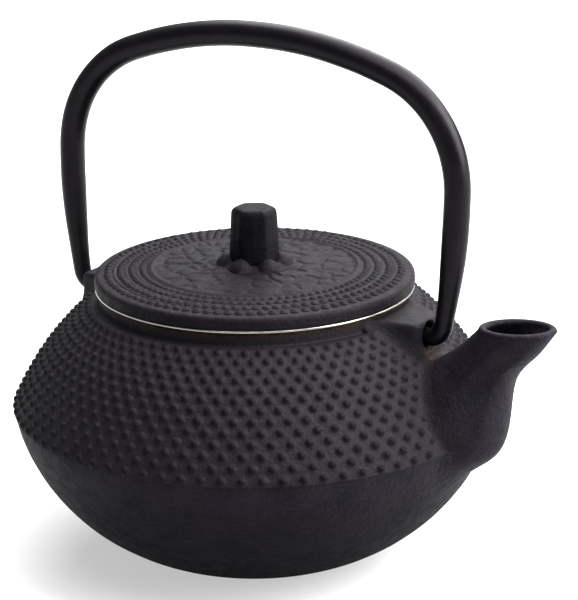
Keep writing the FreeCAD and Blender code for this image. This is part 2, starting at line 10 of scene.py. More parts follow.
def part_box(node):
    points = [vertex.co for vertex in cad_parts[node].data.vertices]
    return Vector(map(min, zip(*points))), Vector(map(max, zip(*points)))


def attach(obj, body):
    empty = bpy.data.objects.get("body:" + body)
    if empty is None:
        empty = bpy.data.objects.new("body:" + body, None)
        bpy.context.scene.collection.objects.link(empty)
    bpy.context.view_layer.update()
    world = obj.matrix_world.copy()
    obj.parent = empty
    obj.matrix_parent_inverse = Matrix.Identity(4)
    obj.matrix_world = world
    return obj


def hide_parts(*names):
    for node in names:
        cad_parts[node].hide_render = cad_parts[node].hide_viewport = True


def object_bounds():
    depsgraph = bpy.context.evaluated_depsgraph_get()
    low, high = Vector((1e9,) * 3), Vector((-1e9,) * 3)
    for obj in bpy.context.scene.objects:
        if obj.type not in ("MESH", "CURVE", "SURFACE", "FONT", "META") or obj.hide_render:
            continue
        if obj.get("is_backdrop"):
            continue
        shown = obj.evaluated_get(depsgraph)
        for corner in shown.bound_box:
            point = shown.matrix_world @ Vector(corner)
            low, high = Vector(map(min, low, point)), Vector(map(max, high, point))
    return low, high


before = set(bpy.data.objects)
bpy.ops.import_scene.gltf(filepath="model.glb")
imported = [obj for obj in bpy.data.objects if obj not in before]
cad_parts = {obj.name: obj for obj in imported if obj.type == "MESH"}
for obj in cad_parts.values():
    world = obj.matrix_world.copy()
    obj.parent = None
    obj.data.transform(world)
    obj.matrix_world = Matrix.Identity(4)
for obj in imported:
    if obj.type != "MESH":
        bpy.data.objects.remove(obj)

# A cast-iron teapot with hobnails, a bail handle, a lift-off lid and a lift-out infuser.
# Shapes are worked out in millimetres, in the CAD model's frame, and scaled once, in make_piece.
MM = 0.001

cad_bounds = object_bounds()


def reach(node, corner, axis):
    """One side of a CAD node's box in millimetres: corner 0 is low, 1 is high."""
    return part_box(node)[corner][axis] / MM


X, Y, Z = 0, 1, 2

# ---- sizes, in millimetres and degrees ----

WAIST_RADIUS = reach("pot_body", 1, Y)
BASE_RADIUS = 24.7
WAIST_HEIGHT = 35.7
BORDER_HEIGHT = 36.3
BOWL_ARC = 48.0
SHOULDER_ARC = 71.4
SHOULDER_TOP_RADIUS = 39.6
SHOULDER_TOP = 62.0
COLLAR_RADIUS = 37.5
COLLAR_TOP = 65.2
MOUTH_RADIUS = 33.0
WALL = 3.5

HOBNAILS_AROUND = 80
HOBNAIL_ROWS = 13
FIRST_ROW_DROP = 1.0
FIRST_ROW_SPACING = 2.25
LAST_ROW_SPACING = 2.75
# How far hobnails keep from the spout and the lugs, and from where on they are full size.
HOBNAIL_CLEARANCE = 1.5
HOBNAIL_FULL_CLEARANCE = 3.5
# A nub from its sunk foot over a soft flare to its blunt tip: (radius, height).
HOBNAIL = [(1.1, -0.35), (1.5, -0.06), (1.08, 0.13), (0.84, 0.43), (0.52, 0.72), (0.2, 0.82)]
LID_NUB = [(0.8, -0.3), (1.1, -0.05), (0.86, 0.1), (0.64, 0.28), (0.38, 0.42), (0.15, 0.48)]

# Spout ovals from the pouring edge down into the bowl:
# centre x, centre height, tilt, length in the XZ plane, breadth along Y.
SPOUT_OVALS = [
    (68.7, 64.9, 3.4, 18.6, 14.0),
    (64.9, 59.3, 0.3, 18.9, 15.2),
    (59.6, 54.0, -8.6, 18.4, 17.4),
    (54.1, 42.6, -46.5, 27.6, 25.0),
    (44.0, 38.0, -60.0, 20.0, 19.9),
]
BORE_OVALS = [
    (68.7, 64.9, 3.4, 14.8, 10.2),
    (64.5, 59.2, 0.3, 12.4, 10.0),
    (59.9, 54.0, -8.6, 12.2, 11.8),
    (54.2, 43.0, -47.4, 19.6, 19.4),
    (44.0, 40.0, -60.0, 15.0, 14.9),
]
LIP_ROUNDING = 0.95
LIP_ANGLES = [math.radians(angle) for angle in (90, 75, 60, 45, 30, 15)]
SPOUT_FILLET = 2.4
SPOUT_FILLET_BELOW = 7.0
# Two flats down the spout's outer corners: how deep, as a share of the oval's reach there,
# and how far round from its outermost point.
SPOUT_FLAT_DEPTH = 0.075
SPOUT_FLAT_ANGLE = 65.0

LUG_INNER_X = 34.5
LUG_FACE_X = 46.5
LUG_BOTTOM = 50.5
LUG_TOP_INNER = 64.8
LUG_TOP_OUTER = 63.4
LUG_INNER_BREADTH = 19.4
LUG_FACE_BREADTH = 11.6
LUG_HOLE_RADIUS = 3.0
LUG_HOLE_HEIGHT = 59.9
LUG_HOLE_END_X = 41.9
LUG_FILLET = 3.0
LUG_ROUNDING = 1.1

BAIL_TOP = 125.6
BAIL_ARCH_RADIUS = 101.2
BAIL_CORNER_RADIUS = 27.5
BAIL_LEG_RADIUS = 200.0
BAIL_LEG_X = 52.7
BAIL_LEG_HEIGHT = 93.9
BAIL_HOOK_RADIUS = 3.6
BAIL_PIN_END_X = 42.3
BAIL_ROD_RADIUS = 3.1
BAIL_PIN_RADIUS = 2.15
BAIL_TAPER_HEIGHT = 86.0
BAIL_PIVOT_HEIGHT = 59.15
BAIL_LEAN = 2.5
# A pin's rounded end: (distance past the pin's straight length, share of its radius).
BAIL_PIN_CAP = [(0.3, 0.35), (0.2, 0.75), (0.07, 0.95)]

LID_RADIUS = reach("lid_plate", 1, X)
LID_TOP = reach("lid_plate", 1, Z)
LID_BOTTOM = 65.95
LID_EDGE = 69.0
LID_UNDERSIDE = 67.4
LID_CROWN_ARC = 430.0
SKIRT_BOTTOM = reach("lid_plate", 0, Z)
SKIRT_RADIUS = 30.9
SKIRT_INNER_RADIUS = 29.7
TENON_HOLE_RADIUS = 2.3
LID_NUBS_AROUND = 88
LID_NUB_RINGS = [35.1, 32.1, 29.4, 26.9]
LID_RIDGES = [33.6, 30.8, 28.1]
LID_RIDGE_HEIGHT = 0.24
LID_RIDGE_BREADTH = 0.3
LID_BORDER_RADIUS = 24.9
LID_BORDER_HEIGHT = 0.42
LID_BORDER_BREADTH = 0.55

SEAT_RADIUS = 6.6
PETAL_ORBIT = 6.7
PETAL_FLARE = 2.65
PETAL_TOP = reach("knob_seat", 1, Z)
KNOB_FOOT = 71.85
KNOB_FOOT_FLAT = 5.5
KNOB_SHOULDER_FLAT = 4.85
KNOB_TOP_FLAT = 4.1
KNOB_SHOULDER = 84.0
KNOB_TOP = reach("lid_knob", 1, Z)
KNOB_BOTTOM = reach("lid_knob", 0, Z)
TENON_RADIUS = 2.2
RIVET_HEAD_RADIUS = 3.2
RIVET_HEAD_TOP = 66.5

FLANGE_RADIUS = reach("infuser_rim", 1, X)
FLANGE_TOP = reach("infuser_rim", 1, Z)
FLANGE_BOTTOM = 65.45
FLANGE_LIP_BOTTOM = 65.35
SLEEVE_RADIUS = 32.3
SLEEVE_BOTTOM = reach("infuser_rim", 0, Z)
SHEET_METAL = 0.6
WIRE_PITCH = 0.8
WIRE_RADIUS = 0.14


# ---- colours ----

# Each iron's dark and light patches.
POT_IRON = [(0.0029, 0.0025, 0.0044), (0.0066, 0.0056, 0.0082)]
LID_IRON = [(0.0024, 0.0020, 0.0028), (0.0048, 0.0040, 0.0047)]
SEAT_IRON = [(0.0030, 0.0025, 0.0033), (0.0060, 0.0050, 0.0057)]
KNOB_IRON = [(0.0014, 0.0013, 0.0022), (0.0032, 0.0028, 0.0038)]
# The lighter ground of the hobnails' field, and painted shade: a darker colour on the hobnails' raised
# tops.
LIGHTER_FIELD_GROUND = (0.0080, 0.0071, 0.0074)
NUB_PAINTED_SHADE = (0.0018, 0.0016, 0.0020)
# Ochre for rust stains, and for painted warm reflection and shade on the collar's edge: dark and light
# patches.
RUST_AND_REFLECTION = [(0.010, 0.006, 0.002), (0.050, 0.030, 0.005)]


# ---- outlines ----

def arc_centre(start, end, radius):
    """The centre of a circle arc from start to end; a positive radius turns left on the way."""
    start, end = np.array(start, float), np.array(end, float)
    chord = end - start
    length = np.hypot(*chord)
    left = np.array([-chord[1], chord[0]]) / length
    return (start + end) / 2 + left * math.copysign(math.sqrt(radius**2 - length**2 / 4), radius)


def arc_points(start, end, radius, step):
    """Points on a circle arc from start to end; a positive radius turns left on the way."""
    centre = arc_centre(start, end, radius)
    first, last = (math.atan2(*(point - centre)[::-1]) for point in (start, end))
    turn = (last - first) % math.tau if radius > 0 else -((first - last) % math.tau)
    count = max(2, math.ceil(abs(turn * radius) / step))
    angles = first + turn * np.linspace(0, 1, count + 1)
    return centre + abs(radius) * np.stack([np.cos(angles), np.sin(angles)], axis=1)


def line_points(start, end, step):
    """Evenly spaced points on a straight line."""
    start, end = np.array(start, float), np.array(end, float)
    count = max(1, math.ceil(np.hypot(*(end - start)) / step))
    return start + (end - start) * np.linspace(0, 1, count + 1)[:, None]


def distances_along(stroke):
    """How far each point of a stroke is from its start, along the stroke."""
    return np.concatenate([[0], np.cumsum(np.hypot(*np.diff(stroke, axis=0).T))])


def points_along(stroke, distances):
    """The points of a stroke at some distances from its start."""
    run = distances_along(stroke)
    return np.stack([np.interp(distances, run, stroke[:, axis]) for axis in (0, 1)], axis=1)


def trimmed(stroke, front, back):
    """A stroke without a length of its start and of its end."""
    run = distances_along(stroke)
    end = run[-1] - back
    keep = run[(run > front) & (run < end)]
    return points_along(stroke, np.concatenate([[front], keep, [end]]))


def outline(corners, step):
    """Points through corners (x, y, rounding, arc), joined by lines, or by arcs where arc is given.

    The rounding is how far a corner is cut back on both sides, and a curve bridges the cut.
    """
    corners = [tuple(corner) + (0,) * (4 - len(corner)) for corner in corners]
    points = []
    for before, after in zip(corners, corners[1:]):
        if after[3]:
            stroke = arc_points(before[:2], after[:2], after[3], step)
        else:
            stroke = line_points(before[:2], after[:2], step)
        stroke = trimmed(stroke, before[2], after[2])
        if before[2] and points:
            blend = np.linspace(0, 1, 6)[1:-1, None]
            start, corner, end = points[-1][-1], np.array(before[:2]), stroke[0]
            points.append((1 - blend)**2 * start + 2 * blend * (1 - blend) * corner + blend**2 * end)
        points.append(stroke if before[2] or not points else stroke[1:])
    return np.concatenate(points)


# ---- meshes ----

def make_piece(name, points, faces):
    """A mesh object from points in millimetres, with doubles merged and faces turned outwards."""
    mesh = bpy.data.meshes.new(name)
    mesh.from_pydata((np.asarray(points) * MM).tolist(), [], faces)
    shape = bmesh.new()
    shape.from_mesh(mesh)
    bmesh.ops.remove_doubles(shape, verts=shape.verts, dist=0.0005 * MM)
    bmesh.ops.recalc_face_normals(shape, faces=shape.faces)
    shape.to_mesh(mesh)
    shape.free()
    thing = bpy.data.objects.new(name, mesh)
    bpy.context.scene.collection.objects.link(thing)
    return thing


def ring_faces(rows, columns, loop=False, caps=False):
    """Quads between rings of points; loop joins the last ring to the first, caps closes the ends."""
    faces = []
    for row in range(rows if loop else rows - 1):
        here, there = row * columns, (row + 1) % rows * columns
        for column in range(columns):
            after = (column + 1) % columns
            faces.append((here + column, here + after, there + after, there + column))
    if caps:
        faces.append(tuple(range(columns)))
        faces.append(tuple(range((rows - 1) * columns, rows * columns)))
    return faces


def unit(vectors):
    """Vectors scaled to a length of 1."""
    return vectors / np.linalg.norm(vectors, axis=-1, keepdims=True)


def full_turn(count):
    """Evenly spaced angles round a full turn, in radians."""
    return np.arange(count) * math.tau / count


def turned_points(profile, columns):
    """Rings of points: a (radius, height) profile turned about Z."""
    angles = full_turn(columns)
    radius, height = profile[:, :1], profile[:, 1:]
    return np.stack([radius * np.cos(angles), radius * np.sin(angles),
                     height + 0 * angles], axis=2).reshape(-1, 3)


def turned(name, profile, columns, loop=False, relief=None):
    """A profile turned about Z; relief, if given, moves the points."""
    points = turned_points(profile, columns)
    if relief:
        points = relief(points)
    return make_piece(name, points, ring_faces(len(profile), columns, loop))


def bake(thing):
    """Replace an object's mesh by what its modifiers make of it."""
    graph = bpy.context.evaluated_depsgraph_get()
    mesh = bpy.data.meshes.new_from_object(thing.evaluated_get(graph))
    thing.modifiers.clear()
    thing.data = mesh


def combine(thing, tool, operation):
    """Unite a solid with another one, or cut the other one out of it, and discard the other."""
    step = thing.modifiers.new("combine", "BOOLEAN")
    step.operation = operation
    step.solver = "MANIFOLD"
    step.object = tool
    bake(thing)
    bpy.data.objects.remove(tool)


def finish_piece(thing, body, slot, material, *replaced, crease=35):
    """Smooth shading up to a crease angle, a material, and the piece's place in the model."""
    mesh = thing.data
    mesh.shade_smooth()
    mesh.set_sharp_from_angle(angle=math.radians(crease))
    mesh.materials.clear()
    mesh.materials.append(material)
    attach(thing, body)
    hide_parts(*replaced)


def smooth_step(low, high, value):
    """0 below low, 1 above high, and a soft slope between."""
    share = np.clip((np.asarray(value, float) - low) / (high - low), 0, 1)
    return share * share * (3 - 2 * share)


def unevenness(points, size, height):
    """A smooth random height for each point, with swells of about a size."""
    heights = np.array([noise.noise(Vector(point) / size) for point in points.reshape(-1, 3)])
    return heights.reshape(points.shape[:-1]) * height


# ---- materials ----

def set_inputs(tree, node, inputs):
    """Set a node's inputs, each to a value or to another node's output."""
    for name, value in inputs.items():
        if isinstance(value, bpy.types.NodeSocket):
            tree.links.new(value, node.inputs[name])
        else:
            node.inputs[name].default_value = value


def add_node(tree, kind, inputs=None, **settings):
    """A new shader node with its settings and its inputs."""
    node = tree.nodes.new(kind)
    for name, value in settings.items():
        setattr(node, name, value)
    set_inputs(tree, node, inputs or {})
    return node


def new_material(name):
    """A node material, with its tree, its shader and the place of a point on the piece."""
    material = bpy.data.materials.new(name)
    material.use_nodes = True
    tree = material.node_tree
    place = add_node(tree, "ShaderNodeTexCoord").outputs["Object"]
    return material, tree, tree.nodes["Principled BSDF"], place


def grain(tree, place, size, detail=3.0, roughness=0.55):
    """Noise whose features are about a size in millimetres."""
    settings = {"Vector": place, "Scale": 1 / (size * MM), "Detail": detail, "Roughness": roughness}
    return add_node(tree, "ShaderNodeTexNoise", settings).outputs["Fac"]


def remap(tree, value, low, high, to_low=0.0, to_high=1.0):
    """Stretch a value from one range to another, clamped."""
    inputs = {"Value": value, "From Min": low, "From Max": high, "To Min": to_low, "To Max": to_high}
    return add_node(tree, "ShaderNodeMapRange", inputs).outputs["Result"]


def blend_colours(tree, share, first, second):
    """Mix two colours, each three numbers or a node's output, by a share."""
    first, second = (colour if isinstance(colour, bpy.types.NodeSocket) else (*colour, 1)
                     for colour in (first, second))
    inputs = {0: share, 6: first, 7: second}
    return add_node(tree, "ShaderNodeMix", inputs, data_type="RGBA").outputs[2]


def product(tree, first, second):
    """Two values multiplied."""
    return add_node(tree, "ShaderNodeMath", {0: first, 1: second}, operation="MULTIPLY").outputs[0]


def bumped(tree, shader, layers):
    """Stack bump layers, each (height, depth in millimetres), and feed them to the shader."""
    normal = None
    for height, depth in layers:
        inputs = {"Height": height, "Distance": depth * MM, "Strength": 1.0}
        if normal:
            inputs["Normal"] = normal
        normal = add_node(tree, "ShaderNodeBump", inputs).outputs["Normal"]
    tree.links.new(normal, shader.inputs["Normal"])


def distance_between(tree, first, second):
    """How far two places are apart."""
    inputs = {0: first, 1: second}
    return add_node(tree, "ShaderNodeVectorMath", inputs, operation="DISTANCE").outputs["Value"]


def radius_and_height(tree, place):
    """A place's distance from the pot's axis and its height."""
    parts = add_node(tree, "ShaderNodeSeparateXYZ", {"Vector": place}).outputs
    level = add_node(tree, "ShaderNodeCombineXYZ", {"X": parts["X"], "Y": parts["Y"]}).outputs[0]
    return distance_between(tree, level, (0, 0, 0)), parts["Z"]


def rust_and_reflection_share(tree, place):
    """Where ochre shows on the pot: painted warm reflection and shade on the collar's top edge, under
    the flange, and a rust stain below the spout-side hook.
    """
    radius, height = radius_and_height(tree, place)
    high = remap(tree, height, (COLLAR_TOP - 1.5) * MM, (COLLAR_TOP - 0.5) * MM)
    edge = remap(tree, radius, (COLLAR_RADIUS + 0.6) * MM, (COLLAR_RADIUS + 0.2) * MM)
    # Painted warm reflection and shade along the collar's top edge, under the flange.
    collar = product(tree, product(tree, high, edge),
                     remap(tree, grain(tree, place, 3.0), 0.3, 0.6, 0.0, 0.6))
    below_hook = ((LUG_FACE_X + 1.1) * MM, -1.0 * MM, (LUG_HOLE_HEIGHT - 4.3) * MM)
    stain = remap(tree, distance_between(tree, place, below_hook), 3.0 * MM, 0.6 * MM)
    stain = product(tree, stain, remap(tree, grain(tree, place, 1.2), 0.35, 0.6))
    return add_node(tree, "ShaderNodeMath", {0: collar, 1: stain}, operation="MAXIMUM").outputs[0]


def hobnail_shares(tree, place):
    """Where the hobnails' field is on the pot, and where a nub stands up from it."""
    radius, height = radius_and_height(tree, place)
    centre = arc_centre((WAIST_RADIUS, BORDER_HEIGHT), (SHOULDER_TOP_RADIUS, SHOULDER_TOP),
                        SHOULDER_ARC) * MM
    spot = add_node(tree, "ShaderNodeCombineXYZ", {"X": radius, "Z": height}).outputs[0]
    apart = distance_between(tree, spot, (centre[0], 0, centre[1]))
    nub = remap(tree, apart, (SHOULDER_ARC + 0.15) * MM, (SHOULDER_ARC + 0.6) * MM)
    near = remap(tree, apart, (SHOULDER_ARC + 4.5) * MM, (SHOULDER_ARC + 1.0) * MM)
    field = product(tree, near, remap(tree, height, BORDER_HEIGHT * MM, (BORDER_HEIGHT + 1) * MM))
    return field, product(tree, field, nub)


def field_tone_nub_shade_and_ochre(tree, place, speckle, colour):
    """The pot's colour with a lighter hobnail field, painted shade on the hobnails' tops, and ochre for
    rust and painted reflection.
    """
    field, nub = hobnail_shares(tree, place)
    colour = blend_colours(tree, product(tree, field, 0.6), colour, LIGHTER_FIELD_GROUND)
    # Painted shade: the hobnails' raised tops are darkened.
    colour = blend_colours(tree, product(tree, nub, 0.9), colour, NUB_PAINTED_SHADE)
    ochre = blend_colours(tree, remap(tree, speckle, 0.35, 0.65), *RUST_AND_REFLECTION)
    return blend_colours(tree, rust_and_reflection_share(tree, place), colour, ochre)


def iron_material(name, patches, sheen, nub_shade_and_ochre=False):
    """Black-lacquered cast iron: sandy grain, shallow pits, a slightly patchy colour, and painted shade
    towards the foot, darker and less reflective there.
    """
    material, tree, shader, place = new_material(name)
    dark, light = patches
    colour = blend_colours(tree, remap(tree, grain(tree, place, 9.0, detail=4), 0.35, 0.65), dark, light)
    speckle = grain(tree, place, 0.4, detail=2)
    glint = tuple(2.3 * part for part in light)
    colour = blend_colours(tree, remap(tree, speckle, 0.5, 0.75, 0.0, 0.8), colour, glint)
    if nub_shade_and_ochre:
        colour = field_tone_nub_shade_and_ochre(tree, place, speckle, colour)
    height = add_node(tree, "ShaderNodeSeparateXYZ", {"Vector": place}).outputs["Z"]
    # Painted shade: the colour darkens towards the bottom, and the next line weakens reflections there
    # too.
    colour = blend_colours(tree, remap(tree, height, 0, 30 * MM, 0.12, 1.0), (0, 0, 0), colour)
    shine = remap(tree, height, 4 * MM, 44 * MM, 0.02 * sheen, sheen)
    gloss = remap(tree, grain(tree, place, 2.5), 0.3, 0.7, 0.5, 0.66)
    set_inputs(tree, shader, {"Base Color": colour, "Roughness": gloss, "Specular IOR Level": shine,
                              "Specular Tint": (0.94, 0.88, 1.0, 1)})
    pits = add_node(tree, "ShaderNodeTexVoronoi",
                    {"Vector": place, "Scale": 1 / (1.1 * MM)}, feature="SMOOTH_F1")
    bumped(tree, shader, [(grain(tree, place, 2.2), 0.10), (pits.outputs["Distance"], 0.12),
                          (grain(tree, place, 0.45, detail=4), 0.22)])
    return material


def lacquer_material():
    """The bail's smoother black coat, with faint brush-like waviness."""
    material, tree, shader, place = new_material("bail_lacquer")
    patches = remap(tree, grain(tree, place, 6.0), 0.35, 0.65)
    colour = blend_colours(tree, patches, (0.0014, 0.0012, 0.0017), (0.0026, 0.0021, 0.0026))
    gloss = remap(tree, grain(tree, place, 1.5), 0.3, 0.7, 0.31, 0.41)
    set_inputs(tree, shader, {"Base Color": colour, "Roughness": gloss, "Specular IOR Level": 0.11,
                              "Specular Tint": (0.95, 0.88, 1.0, 1)})
    bumped(tree, shader, [(grain(tree, place, 3.0), 0.06), (grain(tree, place, 0.3), 0.012)])
    return material


def enamel_material():
    """Glossy black enamel with an orange-peel surface."""
    material, tree, shader, place = new_material("pot_enamel")
    patches = remap(tree, grain(tree, place, 5.0), 0.4, 0.6)
    colour = blend_colours(tree, patches, (0.010, 0.010, 0.011), (0.018, 0.017, 0.018))
    gloss = remap(tree, grain(tree, place, 2.0), 0.3, 0.7, 0.14, 0.26)
    set_inputs(tree, shader, {"Base Color": colour, "Roughness": gloss})
    bumped(tree, shader, [(grain(tree, place, 1.6), 0.03)])
    return material


def steel_material(name, roughness, brushed):
    """Stainless steel, brushed around the pot's axis or plain."""
    material, tree, shader, place = new_material(name)
    stretch = (0.15, 0.15, 6.0) if brushed else (1.0, 1.0, 1.0)
    streaks = add_node(tree, "ShaderNodeVectorMath", {0: place, 1: stretch}, operation="MULTIPLY")
    lines = grain(tree, streaks.outputs["Vector"], 0.4, detail=4)
    tone = blend_colours(tree, remap(tree, lines, 0.3, 0.7), (0.24, 0.23, 0.22), (0.38, 0.37, 0.36))
    gloss = remap(tree, lines, 0.3, 0.7, roughness - 0.06, roughness + 0.08)
    set_inputs(tree, shader, {"Base Color": tone, "Roughness": gloss, "Metallic": 1.0})
    bumped(tree, shader, [(lines, 0.006)])
    return material


def floor_material():
    """A plain pale sheet with a faint glow of its own, as on a light table."""
    material, tree, shader, place = new_material("studio_paper")
    tone = blend_colours(tree, grain(tree, place, 60.0), (0.29, 0.29, 0.29), (0.31, 0.31, 0.31))
    set_inputs(tree, shader, {"Base Color": tone, "Roughness": 0.9, "Emission Color": (1, 1, 1, 1),
                              "Emission Strength": 0.5})
    return material


# ---- pot ----

def pot_profile():
    """The outside of the casting from the middle of its foot to the middle of its closed top."""
    return outline([
        (0, 0.8),
        (BASE_RADIUS - 5.0, 0.8, 1.2),
        (BASE_RADIUS - 3.6, 0, 0.5),
        (BASE_RADIUS, 0, 1.0),
        (WAIST_RADIUS - 0.35, WAIST_HEIGHT - 0.3, 2.4, BOWL_ARC),
        (WAIST_RADIUS - 0.3, BORDER_HEIGHT, 0.1),
        (WAIST_RADIUS, BORDER_HEIGHT + 0.15, 0.12),
        (SHOULDER_TOP_RADIUS, SHOULDER_TOP, 0.5, SHOULDER_ARC),
        (COLLAR_RADIUS, SHOULDER_TOP, 0.5),
        (COLLAR_RADIUS, COLLAR_TOP, 0.9),
        (0, COLLAR_TOP),
    ], step=1.6)


def body_distance(points):
    """How far points are outside the turned bowl, shoulder and collar, negative inside."""
    radius, height = np.hypot(points[..., X], points[..., Y]), points[..., Z]
    waist, top = (WAIST_RADIUS, BORDER_HEIGHT), (SHOULDER_TOP_RADIUS, SHOULDER_TOP)
    shoulder = circle_distance(radius, height, waist, top, SHOULDER_ARC)
    bowl = circle_distance(radius, height, (BASE_RADIUS, 0), (WAIST_RADIUS, WAIST_HEIGHT), BOWL_ARC)
    far_above = 99
    collar = np.where(height < COLLAR_TOP, radius - COLLAR_RADIUS, far_above)
    soft = 1.5
    lens = (shoulder + bowl + np.sqrt((shoulder - bowl)**2 + soft**2)) / 2
    return np.minimum(lens, collar)


def circle_distance(x, y, start, end, radius):
    """Distance of (x, y) outside the circle of the left-turning arc from start to end."""
    centre = arc_centre(start, end, radius)
    return np.hypot(x - centre[0], y - centre[1]) - radius


def flared(points, out, radius):
    """Walls growing out of the turned body, eased along its surface as a fillet would be.

    out is the direction each point of the wall faces; a point moves sideways along the body.
    """
    apart = body_distance(points)
    step = 0.05
    normal = np.stack([(body_distance(points + step * axis) - apart) / step
                       for axis in np.eye(3)], axis=-1)
    slide = out - (out * normal).sum(axis=-1, keepdims=True) * normal
    slide /= np.maximum(np.linalg.norm(slide, axis=-1), 0.3)[..., None]
    rest = radius - np.clip(apart, 0, radius)
    bulge = radius - np.sqrt(radius**2 - rest**2)
    moved = points + slide * bulge[..., None]
    return moved - normal * (body_distance(moved) - apart)[..., None]


def through(stations, count):
    """Rings on a smooth skin through station rings of points, spaced by how far apart they are."""
    middles = stations.mean(axis=1)
    knots = np.concatenate([[0], np.cumsum(np.linalg.norm(np.diff(middles, axis=0), axis=1))])
    slopes = np.gradient(stations, knots, axis=0)
    places = np.linspace(0, knots[-1], count)
    index = np.clip(np.searchsorted(knots, places, side="right") - 1, 0, len(knots) - 2)
    gap = (knots[index + 1] - knots[index])[:, None, None]
    t = (places - knots[index])[:, None, None] / gap
    return ((2 * t**3 - 3 * t**2 + 1) * stations[index] + (t**3 - 2 * t**2 + t) * gap * slopes[index]
            + (3 * t**2 - 2 * t**3) * stations[index + 1] + (t**3 - t**2) * gap * slopes[index + 1])


def oval_ring(oval, columns, grow=0.0, lift=0.0):
    """A ring of points round an oval, grown sideways and lifted along the oval's own axis."""
    x, height, tilt, length, breadth = oval
    angles = full_turn(columns)
    outward = np.stack([2 * np.cos(angles) / length, 2 * np.sin(angles) / breadth])
    outward /= np.hypot(*outward)
    along = length / 2 * np.cos(angles) + grow * outward[0]
    across = breadth / 2 * np.sin(angles) + grow * outward[1]
    slant = math.radians(tilt)
    return np.column_stack([x + along * math.cos(slant) - lift * math.sin(slant), across,
                            height + along * math.sin(slant) + lift * math.cos(slant)])


def with_flats(ring):
    """A spout ring with a soft-edged flat on each of its outer corners."""
    angles = full_turn(len(ring))
    sharpness = 150
    press = 1.0
    for flat in (math.radians(SPOUT_FLAT_ANGLE), -math.radians(SPOUT_FLAT_ANGLE)):
        press = press + (np.clip(np.cos(angles - flat), 0, 1) / (1 - SPOUT_FLAT_DEPTH))**sharpness
    middle = ring.mean(axis=0)
    return middle + (ring - middle) * (press**(-1 / sharpness))[:, None]


def tube_faces_out(rings):
    """The way each point of a tube's rings faces, from its neighbours round and along the tube."""
    around = np.roll(rings, -1, axis=1) - np.roll(rings, 1, axis=1)
    return unit(np.cross(np.gradient(rings, axis=0), around))


def spout_solid():
    """The spout's outside with a rounded lip, flared where it grows out of the bowl."""
    columns = 120
    lip = [oval_ring(SPOUT_OVALS[0], columns, LIP_ROUNDING * (math.cos(angle) - 1),
                     LIP_ROUNDING * (math.sin(angle) - 1)) for angle in LIP_ANGLES]
    stations = [oval_ring(SPOUT_OVALS[0], columns, 0, -LIP_ROUNDING)]
    stations += [with_flats(oval_ring(oval, columns)) for oval in SPOUT_OVALS[1:]]
    walls = through(np.array(stations), count=70)
    below = smooth_step(-0.6, 1, np.cos(full_turn(columns)))
    fillet = SPOUT_FILLET + (SPOUT_FILLET_BELOW - SPOUT_FILLET) * below
    unflared = 10
    walls[unflared:] = flared(walls, tube_faces_out(walls), fillet)[unflared:]
    rings = np.concatenate([lip, walls])
    return make_piece("spout", rings.reshape(-1, 3), ring_faces(len(rings), columns, caps=True))


def bore_solid():
    """The hollow of the spout, flared over the lip's inner half."""
    columns = 72
    mouth = BORE_OVALS[0]
    lip = [oval_ring(mouth, columns, LIP_ROUNDING, 1.0)]
    lip += [oval_ring(mouth, columns, LIP_ROUNDING * (1 - math.cos(angle)),
                      LIP_ROUNDING * (math.sin(angle) - 1)) for angle in LIP_ANGLES]
    stations = [oval_ring(mouth, columns, 0, -LIP_ROUNDING)]
    stations += [oval_ring(oval, columns) for oval in BORE_OVALS[1:]]
    rings = np.concatenate([lip, through(np.array(stations), count=36)])
    return make_piece("bore", rings.reshape(-1, 3), ring_faces(len(rings), columns, caps=True))


def lug_outline():
    """A lug seen from above: a wedge narrowing outwards, its outer corners rounded."""
    inner, outer = LUG_INNER_BREADTH / 2, LUG_FACE_BREADTH / 2
    side = outline([
        (LUG_INNER_X, -inner),
        (LUG_FACE_X, -outer, 1.6),
        (LUG_FACE_X, outer, 1.6),
        (LUG_INNER_X, inner),
    ], step=0.7)
    back = line_points((LUG_INNER_X, inner), (LUG_INNER_X, -inner), 1.5)
    return np.concatenate([side, back[1:-1]])


def lug_solid(side):
    """One lug on the +X side (1) or the -X side (-1), flared into the shoulder and the collar."""
    plan = lug_outline()
    edge = np.roll(plan, -1, axis=0) - np.roll(plan, 1, axis=0)
    out = np.column_stack([edge[:, 1], -edge[:, 0], 0 * edge[:, 0]]) / np.hypot(*edge.T)[:, None]
    out[plan[:, 0] < LUG_INNER_X + 0.1] = 0
    slope = (plan[:, 0] - LUG_INNER_X) / (LUG_FACE_X - LUG_INNER_X)
    top = LUG_TOP_INNER + (LUG_TOP_OUTER - LUG_TOP_INNER) * slope - LUG_ROUNDING
    walls = [(share, 0.0) for share in np.linspace(0, 1, 26)]
    edges = [(1.0, math.radians(angle)) for angle in (18, 36, 54, 72, 90)]
    rings = []
    for share, angle in walls + edges:
        height = LUG_BOTTOM + share * (top - LUG_BOTTOM) + LUG_ROUNDING * math.sin(angle)
        ring = np.column_stack([plan, height])
        ring = flared(ring, out, LUG_FILLET) - LUG_ROUNDING * (1 - math.cos(angle)) * out
        rings.append(ring * (side, 1, 1))
    faces = ring_faces(len(rings), len(plan), caps=True)
    return make_piece("lug", np.concatenate(rings), faces)


def lug_hole(side):
    """The blind hole for a pin, its mouth slightly countersunk."""
    columns = 48
    profile = outline([
        (0, LUG_HOLE_END_X),
        (LUG_HOLE_RADIUS, LUG_HOLE_END_X, 0.5),
        (LUG_HOLE_RADIUS, LUG_FACE_X - 0.5),
        (LUG_HOLE_RADIUS + 0.6, LUG_FACE_X + 0.2),
        (LUG_HOLE_RADIUS + 0.6, LUG_FACE_X + 3),
        (0, LUG_FACE_X + 3),
    ], step=1.0)
    points = turned_points(profile, columns)
    turned_to_x = np.column_stack([side * points[:, 2], points[:, 1], LUG_HOLE_HEIGHT + points[:, 0]])
    return make_piece("hole", turned_to_x, ring_faces(len(profile), columns))


